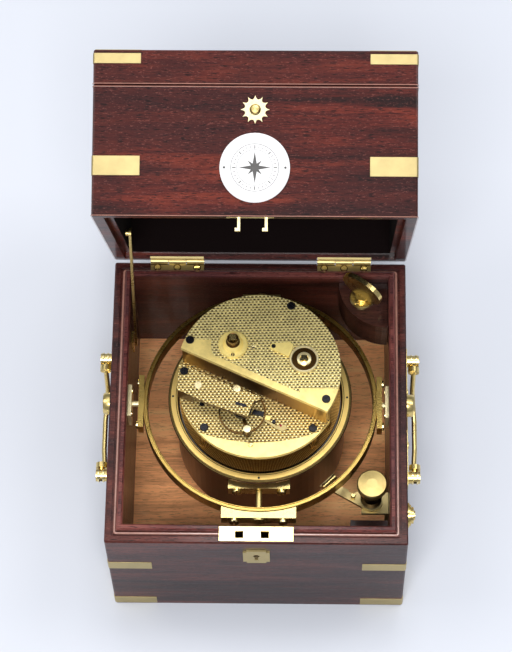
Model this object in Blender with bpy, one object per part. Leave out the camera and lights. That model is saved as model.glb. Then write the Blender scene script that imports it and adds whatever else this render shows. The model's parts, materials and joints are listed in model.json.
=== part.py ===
"""Marine chronometer in its three-part box, lid open at rest.

Lengths are millimetres in the script and metres in the scene. +Z is up, +X is the right
side, -Y is the front, and the origin is the centre of the base's underside.
"""
import math

import bmesh
import bpy
from mathutils import Matrix, Vector

MM = 0.001
GAP = 0.3                 # running clearance between pieces
LAID = 0.1                # gap under a plate laid on a surface

# ---- box ----
HALF_X, HALF_Y = 92.5, 95.0
CORNER_R = 1.2
RIM_Z = 112.0
FLOOR_Z = 19.0
WALL = 11.0
BAND = 3.9                # flat outer band of the rim
GROOVE = 5.1
LIP_OUT, LIP_TOP = 7.1, 115.6
FRAME_Z0, FRAME_Z1 = 112.5, 188.1
LID_Z0, LID_Z1 = 188.4, 208.4
FRAME_WALL = 10.5

# ---- lid hinge and stay ----
HINGE_Y, HINGE_Z = 96.0, 112.15
OPEN_DEG = 71.14
TOP_HINGE_Y, TOP_HINGE_Z = 97.2, 188.25
KNUCKLE_R = 2.4
LEAF_X = {"left": (-69.8, -35.8), "right": (36.4, 70.4)}
STAY_PIVOT = (32.0, 120.9)     # y, z with the lid closed
STAY_FOOT = (50.0, 90.0)       # y, z of the bracket on the side wall
STAY_X = -78.9

# ---- lock ----
HOOK_X = (-10.3, 5.3)
HOOK_Y = -89.9
KEYHOLE_Z = 91.0

# ---- gimbals and bowl ----
GX, GY, GZ = 1.2, 1.0, 102.0
RING_R, RING_T, RING_H = 73.3, 3.0, 10.0
BOWL_R, BOWL_T, FLANGE_R = 53.0, 2.4, 57.1
BOWL_BOTTOM, BOWL_TOP = 42.0, 113.0
PIVOT_R, PIVOT_HOLE_R = 1.9, 2.3

# ---- movement ----
PLATE_R = 49.8
TOP_PLATE_Z = 157.0
LOW_PLATE_Z = 137.2
PLATE_T = 3.2
PILLAR_PLATE = (111.3, 114.6)
CHORD_N = Vector((0.4204, 0.9073))     # points behind the step
CHORD_C = -6.2
TALL_PILLARS = ((-40.8, 20.4), (20.3, 42.6), (42.2, -18.0))
LOW_PILLARS = ((-32.1, -29.8), (34.2, -29.8))
BALANCE = (-9.0, -20.8)
FUSEE = (-14.8, 16.8)
BARREL = (28.5, 7.1)
FOURTH = (8.0, -16.0)
ESCAPE = (6.0, -27.5)
CLICK = (9.9, 15.6)

# ---- locking arm, key, handles ----
KNOB = (70.7, -55.5)
ARM_Z = (82.3, 85.1)
KEY = (65.0, 73.3)
KEY_BLOCK_TOP = 106.5
KEY_TURN = math.radians(-36.0)
HANDLE_Z, HANDLE_Y = 83.0, 39.8
STAR_Z, PLAQUE_Z = 173.9, 140.5

WOOD = ((0.105, 0.022, 0.014), 0.22, 0.0)
WOOD_DARK = ((0.06, 0.018, 0.012), 0.35, 0.0)
BRASS = ((0.72, 0.55, 0.27), 0.28, 1.0)
STEEL = ((0.30, 0.31, 0.33), 0.3, 1.0)
BLUED = ((0.03, 0.035, 0.05), 0.3, 1.0)
SILVER = ((0.78, 0.78, 0.75), 0.45, 0.0)
GLASS = ((0.9, 0.95, 0.93), 0.03, 0.0)


# ---------------------------------------------------------------- helpers
def clear_scene():
    for obj in list(bpy.data.objects):
        bpy.data.objects.remove(obj, do_unlink=True)


def make_material(name, look):
    color, rough, metal = look
    mat = bpy.data.materials.new(name)
    mat.use_nodes = True
    shader = mat.node_tree.nodes["Principled BSDF"]
    shader.inputs["Base Color"].default_value = (*color, 1.0)
    shader.inputs["Roughness"].default_value = rough
    shader.inputs["Metallic"].default_value = metal
    return mat


def mesh_object(name, bm):
    """Turn a bmesh in millimetres into a scene object in metres."""
    bmesh.ops.recalc_face_normals(bm, faces=bm.faces)
    bmesh.ops.scale(bm, vec=(MM, MM, MM), verts=bm.verts)
    mesh = bpy.data.meshes.new(name)
    bm.to_mesh(mesh)
    bm.free()
    obj = bpy.data.objects.new(name, mesh)
    bpy.context.scene.collection.objects.link(obj)
    return obj


def frame_of(axis, center):
    """Matrix whose local Z runs along an axis name, at a centre."""
    turns = {
        "z": Matrix.Identity(4),
        "x": Matrix(((0, 0, 1, 0), (1, 0, 0, 0), (0, 1, 0, 0), (0, 0, 0, 1))),
        "y": Matrix(((0, 1, 0, 0), (0, 0, 1, 0), (1, 0, 0, 0), (0, 0, 0, 1))),
    }
    return Matrix.Translation(Vector(center)) @ turns[axis]


def prism(name, outline, low, high, axis="z", center=(0, 0, 0)):
    """Extrude an outline. Local x, y follow z->(x,y), x->(y,z), y->(z,x)."""
    bm = bmesh.new()
    place = frame_of(axis, center)
    rings = [[bm.verts.new(place @ Vector((u, v, w))) for u, v in outline] for w in (low, high)]
    bm.faces.new(rings[0])
    bm.faces.new(list(reversed(rings[1])))
    count = len(outline)
    for i in range(count):
        j = (i + 1) % count
        bm.faces.new((rings[0][i], rings[0][j], rings[1][j], rings[1][i]))
    return mesh_object(name, bm)


def box(name, x, y, z):
    outline = [(x[0], y[0]), (x[1], y[0]), (x[1], y[1]), (x[0], y[1])]
    return prism(name, outline, z[0], z[1])


def lathe(name, profile, axis="z", center=(0, 0, 0), steps=48):
    """Spin a closed (radius, height) profile. A radius of 0 makes a pole."""
    bm = bmesh.new()
    place = frame_of(axis, center)
    rings = []
    for radius, height in profile:
        if radius == 0:
            rings.append([bm.verts.new(place @ Vector((0, 0, height)))])
            continue
        turn = [2 * math.pi * k / steps for k in range(steps)]
        rings.append([
            bm.verts.new(place @ Vector((radius * math.cos(t), radius * math.sin(t), height)))
            for t in turn
        ])
    solid = profile[0][0] == 0
    last = len(rings) - 1 if solid else len(rings)
    for i in range(last):
        bridge(bm, rings[i], rings[(i + 1) % len(rings)])
    return mesh_object(name, bm)


def bridge(bm, one, two):
    """Join two rings of equal length; either may be a single pole vertex."""
    count = max(len(one), len(two))
    for k in range(count):
        n = (k + 1) % count
        corners = [one[k % len(one)], one[n % len(one)], two[n % len(two)], two[k % len(two)]]
        unique = list(dict.fromkeys(corners))
        bm.faces.new(unique)


def cylinder(name, radius, low, high, axis="z", center=(0, 0, 0), steps=24):
    return lathe(name, [(0, low), (radius, low), (radius, high), (0, high)], axis, center, steps)


def rounded_loop(bm, half_x, half_y, height, radius=CORNER_R):
    """Rectangle with rounded corners as a ring of vertices."""
    radius = min(radius, half_x, half_y)
    verts = []
    for corner, (sx, sy) in enumerate(((1, 1), (-1, 1), (-1, -1), (1, -1))):
        for part in range(3):
            t = math.radians(90 * corner + 45 * part)
            x = sx * (half_x - radius) + radius * math.cos(t)
            y = sy * (half_y - radius) + radius * math.sin(t)
            verts.append(bm.verts.new((x, y, height)))
    return verts


def stacked_box(name, sections, capped):
    """Loft through (inset from the outer face, height) rectangles."""
    bm = bmesh.new()
    rings = []
    for inset, height in sections:
        radius = max(CORNER_R - inset, 0.6)
        rings.append(rounded_loop(bm, HALF_X - inset, HALF_Y - inset, height, radius))
    for i in range(len(rings) - 1):
        bridge(bm, rings[i], rings[i + 1])
    if capped:
        bm.faces.new(rings[0])
        bm.faces.new(rings[-1])
    else:
        bridge(bm, rings[-1], rings[0])
    return mesh_object(name, bm)


def tube(name, points, radius, sides=10):
    """Round bar through points, with mitred bends and flat ends."""
    bm = bmesh.new()
    rings = []
    points = [Vector(p) for p in points]
    up = Vector((1, 0, 0))
    for i, point in enumerate(points):
        before = (point - points[max(i - 1, 0)]).normalized() if i else None
        after = (points[min(i + 1, len(points) - 1)] - point).normalized() if i + 1 < len(points) else None
        along = ((before or after) + (after or before)).normalized()
        side = along.cross(up).normalized()
        stretch = 1.0 / max(along.dot(after or before), 0.5)
        rings.append([
            bm.verts.new(point + radius * (math.cos(t) * up + math.sin(t) * side * stretch))
            for t in (2 * math.pi * k / sides for k in range(sides))
        ])
    for i in range(len(rings) - 1):
        bridge(bm, rings[i], rings[i + 1])
    bm.faces.new(rings[0])
    bm.faces.new(rings[-1])
    return mesh_object(name, bm)


def combine(target, operation, others):
    """Boolean other solids into the target and keep the finished mesh."""
    for other in others:
        mod = target.modifiers.new("bool", "BOOLEAN")
        mod.operation = operation
        mod.object = other
        mod.solver = "EXACT"
    graph = bpy.context.evaluated_depsgraph_get()
    graph.update()
    mesh = bpy.data.meshes.new_from_object(target.evaluated_get(graph))
    target.modifiers.clear()
    target.data = mesh
    for other in others:
        bpy.data.objects.remove(other, do_unlink=True)
    return target


def union(target, *others):
    return combine(target, "UNION", others)


def cut(target, *others):
    return combine(target, "DIFFERENCE", others)


def finish(obj, look, pivot=(0, 0, 0), smooth=35.0):
    """Name the material, set the origin on the pivot and shade the piece."""
    obj.data.materials.clear()
    obj.data.materials.append(make_material("mat_" + obj.name, look))
    offset = Vector(pivot) * MM
    obj.data.transform(Matrix.Translation(-offset))
    obj.location = offset
    obj.data.shade_smooth()
    obj.data.set_sharp_from_angle(angle=math.radians(smooth))
    return obj


def arc(center, radius, start, end, steps):
    """Points along an arc, angles in degrees."""
    out = []
    for k in range(steps + 1):
        t = math.radians(start + (end - start) * k / steps)
        out.append((center[0] + radius * math.cos(t), center[1] + radius * math.sin(t)))
    return out


def swing_open(obj):
    """Turn a piece modelled with the lid closed to the open rest position."""
    pivot = Vector((0, HINGE_Y, HINGE_Z)) * MM
    turn = Matrix.Rotation(-math.radians(OPEN_DEG), 4, "X")
    obj.matrix_world = Matrix.Translation(pivot) @ turn @ Matrix.Translation(-pivot) @ obj.matrix_basis
    return obj


def chord_side(center, radius, behind, offset=0.0, steps=30):
    """Outline of a disc cut along the step line, keeping one side of it."""
    middle = Vector(center)
    reach = CHORD_C + offset - CHORD_N.dot(middle)
    base = math.degrees(math.atan2(CHORD_N.y, CHORD_N.x))
    half = math.degrees(math.acos(reach / radius))
    if behind:
        return arc(center, radius, base - half, base + half, steps)
    return arc(center, radius, base + half, base + 360 - half, steps)


# ---------------------------------------------------------------- box
def make_base():
    sections = [
        (0, 0), (0, RIM_Z - 0.8), (0.8, RIM_Z), (BAND, RIM_Z), (BAND, RIM_Z - 1.2),
        (GROOVE, RIM_Z - 1.2), (GROOVE, RIM_Z - 0.2), (WALL, RIM_Z - 0.2), (WALL, FLOOR_Z),
    ]
    base = stacked_box("case_base", sections, True)
    cutters = [
        box("cut_plate", (-22.8, 22.8), (-93.5, -83.0), (110.4, 113)),
        box("cut_case", (-19, 19), (-93.3, -83.0), (84, 111)),
        cylinder("cut_keyhole", 2.0, -96, -90, "y", (0, 0, KEYHOLE_Z), 16),
    ]
    for side, (x0, x1) in LEAF_X.items():
        cutters.append(box("cut_leaf_" + side, (x0 - GAP, x1 + GAP), (87.9, 96), (110.6, 113)))
        cutters.append(box("cut_knuckle_" + side, (x0 - GAP, x1 + GAP), (93.2, 96), (109.3, 113)))
    finish(cut(base, *cutters), WOOD)


def make_lip():
    """Raised inner lip, open at the front where the lock plate sits."""
    out_x, out_y = HALF_X - LIP_OUT, HALF_Y - LIP_OUT
    low = RIM_Z - 0.1
    wide = WALL - LIP_OUT
    profile = [(0, low), (0, LIP_TOP - 1.0), (1.0, LIP_TOP), (wide - 1.0, LIP_TOP),
               (wide, LIP_TOP - 1.0), (wide, low)]
    bm = bmesh.new()
    corners = [(23.0, -1, 0), (1, -1, 1), (1, 1, 1), (-1, 1, 1), (-1, -1, 1), (-23.0, -1, 0)]
    rings = []
    for sx, sy, is_corner in corners:
        ring = []
        for inset, height in profile:
            x = sx * (out_x - inset) if is_corner else sx
            ring.append(bm.verts.new((x, sy * (out_y - inset), height)))
        rings.append(ring)
    for i in range(len(rings) - 1):
        bridge(bm, rings[i], rings[i + 1])
    bm.faces.new(rings[0])
    bm.faces.new(rings[-1])
    finish(mesh_object("rim_lip", bm), WOOD)


def make_lock():
    plate = box("striker_plate", (-22.6, 22.6), (-93.4, -84.1), (110.55, 112.15))
    holes = [box("cut_hook", (x - 2.6, x + 2.6), (HOOK_Y - 1.7, HOOK_Y + 3.0), (109, 114)) for x in HOOK_X]
    finish(cut(plate, *holes), BRASS)

    case = box("lock_case", (-18.7, 18.7), (-93.0, -84.2), (84.3, 110.3))
    inside = box("cut_inside", (-17.3, 17.3), (-91.9, -85.5), (85.6, 111))
    hole = cylinder("cut_hole", 1.7, -94, -91, "y", (0, 0, KEYHOLE_Z), 16)
    finish(cut(case, inside, hole), BRASS)

    left, right = HOOK_X
    outline = [(left - 6, 100), (12, 100), (12, 103), (right - 5, 103), (right - 5, 107.3),
               (right - 2.5, 107.3), (right - 2.5, 109), (right - 6, 109), (right - 6, 103),
               (left - 5, 103), (left - 5, 107.3), (left - 2.5, 107.3), (left - 2.5, 109),
               (left - 6, 109)]
    bolt = prism("lock_bolt", [(z, x) for x, z in outline], -91.3, -87.9, "y")
    finish(bolt, BRASS)

    tall, wide, notch = 10.0, 8.2, 2.2
    shape = []
    for sx, sz in ((1, 1), (-1, 1), (-1, -1), (1, -1)):
        corner = [(sx * wide, sz * (tall - notch)), (sx * (wide - notch), sz * (tall - notch)),
                  (sx * (wide - notch), sz * tall)]
        shape += corner if sx * sz > 0 else list(reversed(corner))
    shield = prism("keyhole_escutcheon", [(z, x) for x, z in shape], -96.3, -95.1, "y", (0, 0, KEYHOLE_Z))
    keyhole = arc((KEYHOLE_Z + 2, 0), 2.0, -146, 146, 14) + [(KEYHOLE_Z - 5, 1.1), (KEYHOLE_Z - 5, -1.1)]
    hole = prism("cut_keyhole", keyhole, -97, -94, "y")
    finish(cut(shield, hole), BRASS)


def knuckle(name, x0, x1, radius=KNUCKLE_R):
    return cylinder(name, radius, x0, x1, "x", (0, HINGE_Y, HINGE_Z), 16)


def make_hinges():
    for side, (x0, x1) in LEAF_X.items():
        third = (x1 - x0) / 3
        leaf = box("hinge_base_" + side, (x0, x1), (88.2, 95.6), (110.7, 112.05))
        ends = [box("cut_a", (x0 - 1, x0 + third + GAP), (93.1, 97), (110, 113)),
                box("cut_b", (x1 - third - GAP, x1 + 1), (93.1, 97), (110, 113))]
        cut(leaf, *ends)
        middle = knuckle("add_knuckle", x0 + third + GAP, x1 - third - GAP)
        pin = knuckle("add_pin", x0 + 0.2, x1 - 0.2, 0.9)
        finish(union(leaf, middle, pin), BRASS)

        upper = box("hinge_lid_" + side, (x0, x1), (88.2, 95.6), (112.7, 114.0))
        gap = box("cut_c", (x0 + third - GAP, x1 - third + GAP), (93.1, 97), (112, 115))
        cut(upper, gap)
        knuckles = [knuckle("add_a", x0, x0 + third - GAP), knuckle("add_b", x1 - third + GAP, x1)]
        union(upper, *knuckles)
        cut(upper, knuckle("cut_pin", x0 - 1, x1 + 1, 1.2))
        swing_open(finish(upper, BRASS, (0, HINGE_Y, HINGE_Z)))


def make_stay():
    foot_y, foot_z = STAY_FOOT
    plate = box("stay_bracket", (-81.4, -80.1), (foot_y - 4, foot_y + 4), (foot_z - 9, foot_z + 6))
    finish(plate, BRASS)

    closed_y, closed_z = STAY_PIVOT
    reach_y, reach_z = closed_y - HINGE_Y, closed_z - HINGE_Z
    turn = math.radians(OPEN_DEG)
    pivot_y = HINGE_Y + reach_y * math.cos(turn) + reach_z * math.sin(turn)
    pivot_z = HINGE_Z - reach_y * math.sin(turn) + reach_z * math.cos(turn)
    along = Vector((foot_y - pivot_y, foot_z - pivot_z))
    length = along.length + 2.0
    along.normalize()
    outline = []
    lean = math.degrees(math.atan2(along.y, along.x))
    outline += arc((pivot_y, pivot_z), 3.0, lean + 110, lean + 250, 6)
    tip = Vector((pivot_y, pivot_z)) + along * length
    outline += arc(tip, 1.9, lean - 80, lean + 80, 5)
    rod = prism("stay_rod", outline, -79.7, -78.2, "x")
    pin = cylinder("add_pin", 2.0, -81.7, -78.9, "x", (0, pivot_y, pivot_z), 16)
    finish(union(rod, pin), BRASS, (STAY_X, pivot_y, pivot_z))


def make_middle_frame():
    rebate, ledge = 6.6, 7.0
    sections = [
        (rebate, FRAME_Z0), (0.5, FRAME_Z0), (0, FRAME_Z0 + 0.5), (0, FRAME_Z1 - 0.5),
        (0.5, FRAME_Z1), (ledge, FRAME_Z1), (ledge, 178.2), (FRAME_WALL, 178.2),
        (FRAME_WALL, 116.4), (rebate, 116.4),
    ]
    frame = stacked_box("middle_frame", sections, False)
    cutters = [
        box("cut_hooks", (-16.2, 11.2), (-93.6, -88.0), (111, 114.3)),
        cylinder("cut_button", 3.2, -96, -86.8, "y", (0, 0, STAR_Z), 16),
    ]
    for side, (x0, x1) in LEAF_X.items():
        cutters.append(box("cut_leaf_" + side, (x0 - GAP, x1 + GAP), (88.0, 96), (111, 114.2)))
        cutters.append(box("cut_knuckle_" + side, (x0 - GAP, x1 + GAP), (93.2, 96), (111, 115.0)))
    swing_open(finish(cut(frame, *cutters), WOOD, (0, HINGE_Y, HINGE_Z)))

    glass = box("glass_pane", (-85.2, 85.2), (-87.7, 87.7), (178.3, 181.0))
    swing_open(finish(glass, GLASS))

    plate = box("hook_plate", (-16.0, 11.0), (-93.4, -88.7), (112.7, 114.2))
    hooks = []
    for x in HOOK_X:
        outline = [(105, x - 0.8), (105, x + 2.2), (113, x + 2.2), (113, x + 0.6),
                   (106.8, x + 0.6), (106.8, x - 0.8)]
        hooks.append(prism("add_hook", outline, HOOK_Y - 1.2, HOOK_Y + 1.1, "y"))
    swing_open(finish(union(plate, *hooks), STEEL))


def make_front_trim():
    points = 12
    outline = []
    for k in range(points):
        for turn, r in ((0, 8.2), (3.5, 6.9), (8, 6.2), (15, 5.9), (22, 6.2), (26.5, 6.9)):
            t = math.radians(360 * k / points + turn)
            outline.append((r * math.cos(t), r * math.sin(t)))
    star = prism("star_escutcheon", outline, -96.2, -95.1, "y", (0, 0, STAR_Z))
    cut(star, cylinder("cut_star", 3.2, -97, -94, "y", (0, 0, STAR_Z), 24))
    swing_open(finish(star, BRASS))

    profile = [(0, -90.3), (2.8, -90.3), (2.8, -97.6), (2.2, -98.4), (0, -98.6)]
    button = lathe("push_button", profile, "y", (0, 0, STAR_Z), 24)
    swing_open(finish(button, BRASS, (0, -95, STAR_Z)))

    profile = [(0, -95.1), (20.0, -95.1), (20.0, -96.0), (19.0, -96.5), (0, -96.5)]
    plaque = lathe("plaque", profile, "y", (0, 0, PLAQUE_Z), 48)
    swing_open(finish(plaque, SILVER))


def make_top_lid():
    sections = [(8.0, 201.5), (8.0, LID_Z0), (0.5, LID_Z0), (0, LID_Z0 + 0.5), (0, 207.4),
                (0.3, 208.1), (0.9, LID_Z1)]
    lid = stacked_box("top_lid", sections, True)
    swing_open(finish(lid, WOOD, (0, TOP_HINGE_Y, TOP_HINGE_Z)))
    for side, (x0, x1) in LEAF_X.items():
        leaf = box("top_hinge_" + side, (x0, x1), (95.1, 96.2), (174.0, 187.6))
        barrel = cylinder("add_barrel", 1.9, x0, x1, "x", (0, TOP_HINGE_Y, TOP_HINGE_Z), 12)
        swing_open(finish(union(leaf, barrel), BRASS))


# ---------------------------------------------------------------- gimbals and bowl
def make_gimbals():
    for side, sign in (("left", -1), ("right", 1)):
        wall = sign * 81.4
        inner = sign * 79.2
        plate = box("gimbal_bracket_" + side, sorted((wall, inner)), (GY - 10.5, GY + 10.5), (92, 108))
        reach = sorted((sign * 80.0, GX + sign * 71.2))
        pin = cylinder("add_pin", PIVOT_R, reach[0], reach[1], "x", (0, GY, GZ), 16)
        finish(union(plate, pin), BRASS)

    half = RING_H / 2
    inner = RING_R - RING_T
    profile = [(inner, -half), (RING_R, -half), (RING_R, half - 0.5), (RING_R - 0.4, half),
               (RING_R - 0.9, half), (RING_R - 1.2, half - 0.5), (inner + 1.0, half - 0.5),
               (inner + 0.7, half), (inner + 0.4, half), (inner, half - 0.5)]
    ring = lathe("gimbal_ring", profile, "z", (GX, GY, GZ), 72)
    pads = [box("add_pad", (GX + s * 74.35 - 1.65, GX + s * 74.35 + 1.65), (GY - 17.5, GY + 17.5),
                (GZ - half, GZ + half)) for s in (-1, 1)]
    union(ring, *pads)
    drills = []
    for s in (-1, 1):
        reach = sorted((s * 69, s * 78))
        drills.append(cylinder("cut_x", PIVOT_HOLE_R, reach[0], reach[1], "x", (GX, GY, GZ), 16))
        drills.append(cylinder("cut_y", PIVOT_HOLE_R, reach[0], reach[1], "y", (GX, GY, GZ), 16))
    finish(cut(ring, *drills), BRASS, (GX, GY, GZ))

    for name, s, wide, face, top in (("front", -1, 23.0, 77.2, 4.5), ("rear", 1, 12.0, 75.0, 3.0)):
        edge = math.degrees(math.asin(wide / (RING_R + 0.15)))
        start, end = (270 - edge, 270 + edge) if s < 0 else (90 - edge, 90 + edge)
        outline = arc((GX, GY), RING_R + 0.15, start, end, 10)
        outline += [(outline[-1][0], GY + s * face), (outline[0][0], GY + s * face)]
        block = prism("ring_block_" + name, outline, GZ - 4.5, GZ + top)
        reach = sorted((s * (face - 1), s * 56.0))
        pin = cylinder("add_pin", PIVOT_R, reach[0], reach[1], "y", (GX, GY, GZ), 16)
        reach = sorted((s * (face - 0.2), s * (face + 1.0)))
        boss = cylinder("add_boss", top - 0.1, reach[0], reach[1], "y", (GX, GY, GZ), 20)
        finish(union(block, pin, boss), BRASS, (GX, GY, GZ))


def make_bowl():
    inside = BOWL_R - BOWL_T
    profile = [
        (0, BOWL_BOTTOM), (44, BOWL_BOTTOM), (50, 44.6), (BOWL_R, 51), (BOWL_R, 110.6),
        (FLANGE_R - 0.6, 111.2), (FLANGE_R, 111.8), (FLANGE_R, 112.6), (FLANGE_R - 0.5, BOWL_TOP),
        (inside, BOWL_TOP), (inside, 52), (48, 47.2), (43.4, 44.4), (0, 44.4),
    ]
    bowl = lathe("bowl", profile, "z", (GX, GY, 0), 72)
    finish(bowl, BRASS, (GX, GY, GZ))
    for name, s in (("front", -1), ("rear", 1)):
        edge = math.degrees(math.asin(19.0 / (BOWL_R + 0.15)))
        start, end = (270 - edge, 270 + edge) if s < 0 else (90 - edge, 90 + edge)
        outline = arc((GX, GY), BOWL_R + 0.15, start, end, 8)
        outline += [(outline[-1][0], GY + s * 58.0), (outline[0][0], GY + s * 58.0)]
        plate = prism("bowl_pivot_" + name, outline, GZ - 4.5, GZ + 4.5)
        reach = sorted((s * 54.5, s * 60))
        drill = cylinder("cut_pin", PIVOT_HOLE_R, reach[0], reach[1], "y", (GX, GY, GZ), 16)
        finish(cut(plate, drill), BRASS, (GX, GY, GZ))


def make_lock_arm():
    block = box("lock_corner_block", (58.0, 81.2), (-83.7, -66.5), (52, 78.0))
    finish(block, WOOD_DARK)
    shelf = box("lock_bracket", (64.8, 81.2), (-63.4, -49.5), (79.2, 82.0))
    flange = box("add_flange", (79.4, 81.4), (-63.4, -49.5), (66, 82.0))
    finish(union(shelf, flange), BRASS)

    hub = arc(KNOB, 7.4, -95, 100, 12)
    hollow = arc((59.6, -47.6), 3.6, 10, -160, 6)
    arm = hub + [(65.5, -46.0)] + hollow + [
        (50.4, -46.0), (45.8, -43.6), (49.2, -40.6), (47.2, -38.2), (41.9, -43.4), (38.7, -46.6),
        (43.0, -48.4), (48.2, -50.7), (65.1, -60.4)]
    lever = prism("lock_arm", arm, ARM_Z[0], ARM_Z[1])
    drill = cylinder("cut_stem", 2.5, ARM_Z[0] - 1, ARM_Z[1] + 1, "z", (*KNOB, 0), 16)
    finish(cut(lever, drill), BRASS, (*KNOB, ARM_Z[0]))

    profile = [(0, 82.6), (2.1, 82.6), (2.1, 85.4), (6.6, 85.4), (6.6, 87.4), (4.6, 88.2), (4.2, 96),
               (5.2, 104.5), (6.2, 106.3), (9.0, 107.0), (9.35, 108), (9.35, 111.6), (8.6, 112.6),
               (3.2, 113.0), (0, 113.0)]
    finish(lathe("lock_knob", profile, "z", (*KNOB, 0), 40), BRASS, (*KNOB, 85))


def make_key():
    corner = (81.2, 83.7)
    outline = [corner] + arc(corner, 31.0, 180, 270, 12)
    block = prism("key_block", outline, 80.0, KEY_BLOCK_TOP)
    drill = cylinder("cut_key", 4.0, 84, 110, "z", (*KEY, 0), 20)
    finish(cut(block, drill), WOOD_DARK)

    top = KEY_BLOCK_TOP + LAID
    profile = [(3.9, top), (8.0, top), (8.0, top + 1.2), (7.4, top + 1.8), (3.9, top + 1.8)]
    finish(lathe("key_socket", profile, "z", (*KEY, 0), 32), BRASS)

    profile = [(0, 85.5), (3.2, 85.5), (3.2, 108.7), (4.4, 108.7), (4.4, 111.6), (0, 111.6)]
    shank = lathe("winding_key", profile, "z", (*KEY, 0), 20)
    half_wide, half_tall, middle = 14.3, 10.6, 120.4
    oval = []
    for k in range(28):
        t = 2 * math.pi * k / 28
        oval.append((middle + half_tall * math.sin(t), half_wide * math.cos(t)))
    wing = prism("add_wing", oval, -1.5, 1.5, "y")
    place = Matrix.Translation(Vector((*KEY, 0)) * MM) @ Matrix.Rotation(KEY_TURN, 4, "Z")
    wing.data.transform(place)
    finish(union(shank, wing), BRASS, (*KEY, KEY_BLOCK_TOP))


def make_handles():
    for side, s in (("left", -1), ("right", 1)):
        swing = HALF_X + 5.6
        plate = box("handle_" + side, sorted((s * 92.6, s * 93.8)), (-46.5, 46.5), (78.0, 88.0))
        posts = []
        for y in (-1, 1):
            post = cylinder("add_post", 3.8, *sorted((s * 93.0, s * 101.4)), "x", (0, y * HANDLE_Y, HANDLE_Z), 20)
            posts.append(post)
        union(plate, *posts)
        drill = cylinder("cut_bail", 2.0, -50, 50, "y", (s * swing, 0, HANDLE_Z), 14)
        finish(cut(plate, drill), BRASS, (s * swing, 0, HANDLE_Z))

        bend = [(HANDLE_Y, 0, 0), (35.0, 0, 0), (32.6, 0, -2.6), (29.6, 0, -22.0), (27.6, 0.2, -26.4),
                (23.0, 0.5, -28.6), (10.0, 1.3, -29.4)]
        path = [(s * (swing + x), y, HANDLE_Z + z) for y, x, z in bend]
        path += [(s * (swing + x), -y, HANDLE_Z + z) for y, x, z in reversed(bend)]
        bail = tube("bail_" + side, path, 1.6)
        eyes = [cylinder("add_eye", 3.6, *sorted((y * 31.8, y * 35.2)), "y", (s * swing, 0, HANDLE_Z), 18)
                for y in (-1, 1)]
        finish(union(bail, *eyes), BRASS, (s * swing, 0, HANDLE_Z))


# ---------------------------------------------------------------- movement
def make_plates():
    profile = [(3.4, 109.7), (50.1, 109.7), (50.1, 110.9), (3.4, 110.9)]
    dial = lathe("dial", profile, "z", (GX, GY, 0), 64)
    cut(dial, cylinder("cut_seconds", 1.3, 108, 112, "z", (*FOURTH, 0), 12))
    finish(dial, SILVER)

    ring = [(51.0, 113.15), (56.6, 113.15), (56.6, 114.0), (56.1, 114.5), (51.5, 114.5), (51.0, 114.0)]
    finish(lathe("edge_ring", ring, "z", (GX, GY, 0), 72), BRASS)

    low, high = PILLAR_PLATE
    profile = [(3.4, low), (50.0, low), (50.0, high), (3.4, high)]
    plate = lathe("pillar_plate", profile, "z", (GX, GY, 0), 64)
    pillars = []
    for group, top in ((TALL_PILLARS, TOP_PLATE_Z - PLATE_T - LAID), (LOW_PILLARS, LOW_PLATE_Z - PLATE_T - LAID)):
        for spot in group:
            shape = [(0, low + 1), (3.4, low + 1), (3.4, high + 2.5), (2.4, high + 4), (2.4, top - 5),
                     (3.6, top - 3), (3.6, top), (0, top)]
            pillars.append(lathe("add_pillar", shape, "z", (*spot, 0), 16))
    union(plate, *pillars)
    cut(plate, cylinder("cut_seconds", 1.3, 108, 116, "z", (*FOURTH, 0), 12))
    finish(plate, BRASS)

    upper = prism("upper_plate", chord_side((GX, GY), PLATE_R, True, 0.0, 40),
                  TOP_PLATE_Z - PLATE_T, TOP_PLATE_Z)
    cut(upper, cylinder("cut_fusee", 2.9, 150, 160, "z", (*FUSEE, 0), 20))
    finish(upper, BRASS)

    lower = prism("lower_plate", chord_side((GX, GY), PLATE_R, False, 3.4, 40),
                  LOW_PLATE_Z - PLATE_T, LOW_PLATE_Z)
    finish(lower, BRASS)

    along = Vector((CHORD_N.y, -CHORD_N.x))
    near = CHORD_N * (CHORD_C + 0.2)
    far = CHORD_N * (CHORD_C + 3.2)
    shift = CHORD_N.y * GX - CHORD_N.x * GY
    ends = (shift - 48.6, shift + 48.6)
    outline = [near + along * ends[0], near + along * ends[1], far + along * ends[1], far + along * ends[0]]
    wall = prism("step_wall", outline, LOW_PLATE_Z + LAID, TOP_PLATE_Z - PLATE_T - LAID)
    finish(wall, BRASS)


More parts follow.
